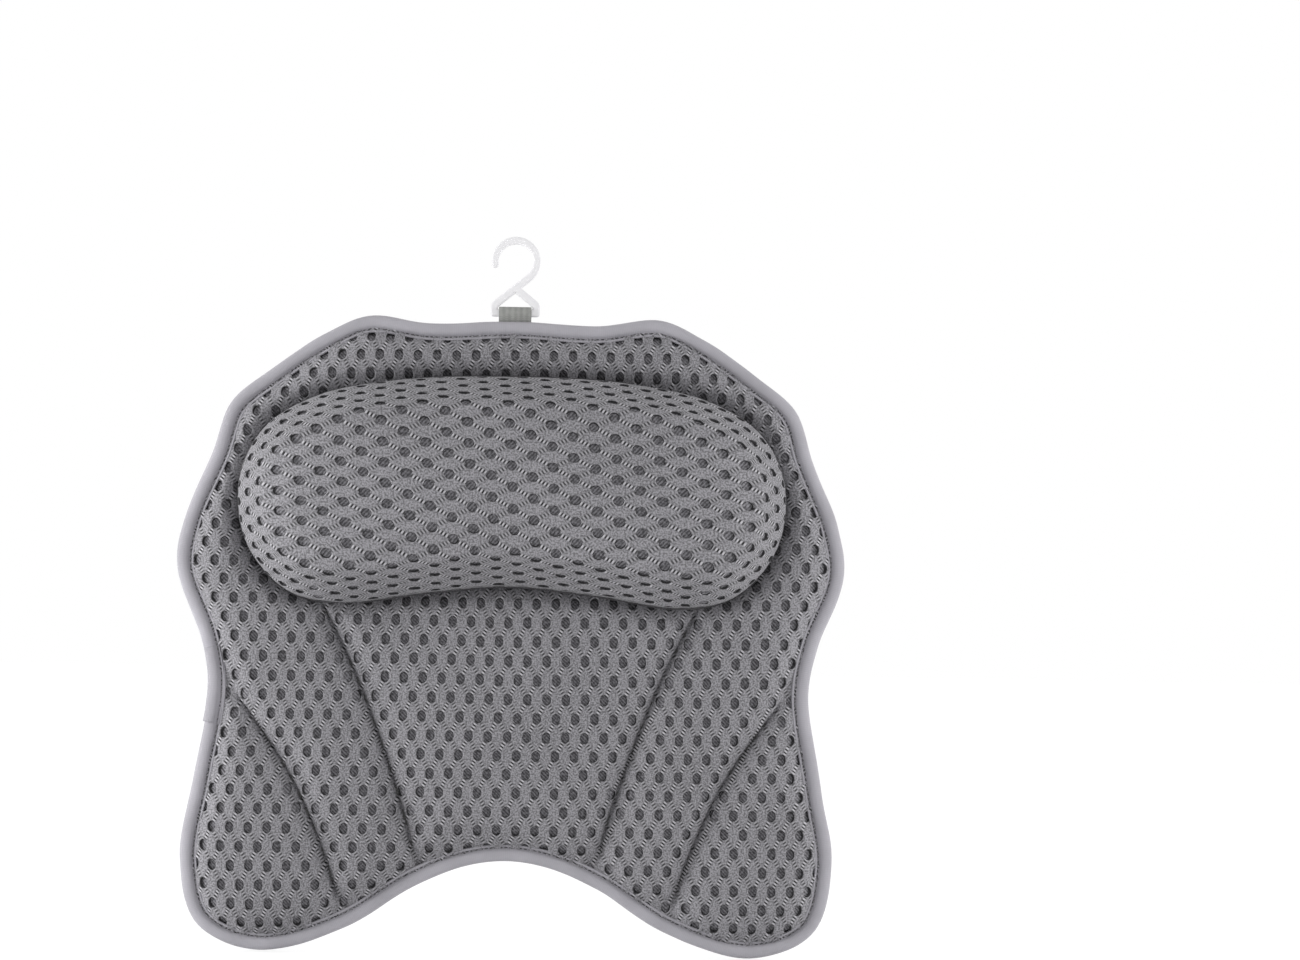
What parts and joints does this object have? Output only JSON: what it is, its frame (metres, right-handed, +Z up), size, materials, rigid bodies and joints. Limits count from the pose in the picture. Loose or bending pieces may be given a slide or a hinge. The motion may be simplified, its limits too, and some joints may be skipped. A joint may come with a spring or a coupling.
{
  "type": "bath pillow",
  "caption": "Quilted spacer-mesh bath pillow with a stuffed bean-shaped headrest, bound edge, suction cups behind and a hanging hook on a webbing loop.",
  "frame": {"origin": "middle of the tub wall plane that the lips of the suction cups rest on, behind the centre of the panel's outline", "axes": "+X to the right as seen from the front, +Y from the pillow into the tub wall, +Z up towards the hook"},
  "size_m": [0.411, 0.0937, 0.4421],
  "materials": {
    "mesh_cloth": "open knitted spacer mesh, mid grey",
    "binding_tape": "smooth stretch tape, light grey",
    "foam": "dark soft filling",
    "webbing": "ribbed woven webbing, grey",
    "patch_cloth": "plain reinforcing cloth",
    "clear_vinyl": "clear soft vinyl",
    "hook_plastic": "white moulded plastic"
  },
  "bodies": {
    "pillow": {"rear_mesh": "mesh_cloth", "pad_foam": "foam", "face_mesh": "mesh_cloth", "edge_binding": "binding_tape", "headrest_core": "foam", "headrest_cover": "mesh_cloth", "headrest_piping": "mesh_cloth", "hanging_loop": "webbing", "eyelet_patch_upper_left": "patch_cloth", "eyelet_patch_upper_right": "patch_cloth", "eyelet_patch_middle_left": "patch_cloth", "eyelet_patch_middle_right": "patch_cloth", "eyelet_patch_lower_left": "patch_cloth", "eyelet_patch_lower_right": "patch_cloth"},
    "hook": {"hanging_hook": "hook_plastic"},
    "cup_upper_left": {"suction_cup_upper_left": "clear_vinyl"},
    "cup_upper_right": {"suction_cup_upper_right": "clear_vinyl"},
    "cup_middle_left": {"suction_cup_middle_left": "clear_vinyl"},
    "cup_middle_right": {"suction_cup_middle_right": "clear_vinyl"},
    "cup_lower_left": {"suction_cup_lower_left": "clear_vinyl"},
    "cup_lower_right": {"suction_cup_lower_right": "clear_vinyl"}
  },
  "joints": [
    {"name": "hook_swing", "type": "hinge", "parent": "pillow", "child": "hook", "pos_m": [0, -0.0211, 0.19906], "axis": [1, 0, 0], "range_deg": [-110, 110]},
    {"name": "cup_turn_upper_left", "type": "hinge", "parent": "pillow", "child": "cup_upper_left", "pos_m": [-0.08189, 0, 0.1037], "axis": [0, 1, 0], "continuous": true},
    {"name": "cup_turn_upper_right", "type": "hinge", "parent": "pillow", "child": "cup_upper_right", "pos_m": [0.08189, 0, 0.1037], "axis": [0, 1, 0], "continuous": true},
    {"name": "cup_turn_middle_left", "type": "hinge", "parent": "pillow", "child": "cup_middle_left", "pos_m": [-0.13082, 0, -0.00625], "axis": [0, 1, 0], "continuous": true},
    {"name": "cup_turn_middle_right", "type": "hinge", "parent": "pillow", "child": "cup_middle_right", "pos_m": [0.13082, 0, -0.00625], "axis": [0, 1, 0], "continuous": true},
    {"name": "cup_turn_lower_left", "type": "hinge", "parent": "pillow", "child": "cup_lower_left", "pos_m": [-0.09487, 0, -0.1102], "axis": [0, 1, 0], "continuous": true},
    {"name": "cup_turn_lower_right", "type": "hinge", "parent": "pillow", "child": "cup_lower_right", "pos_m": [0.09487, 0, -0.1102], "axis": [0, 1, 0], "continuous": true}
  ]
}
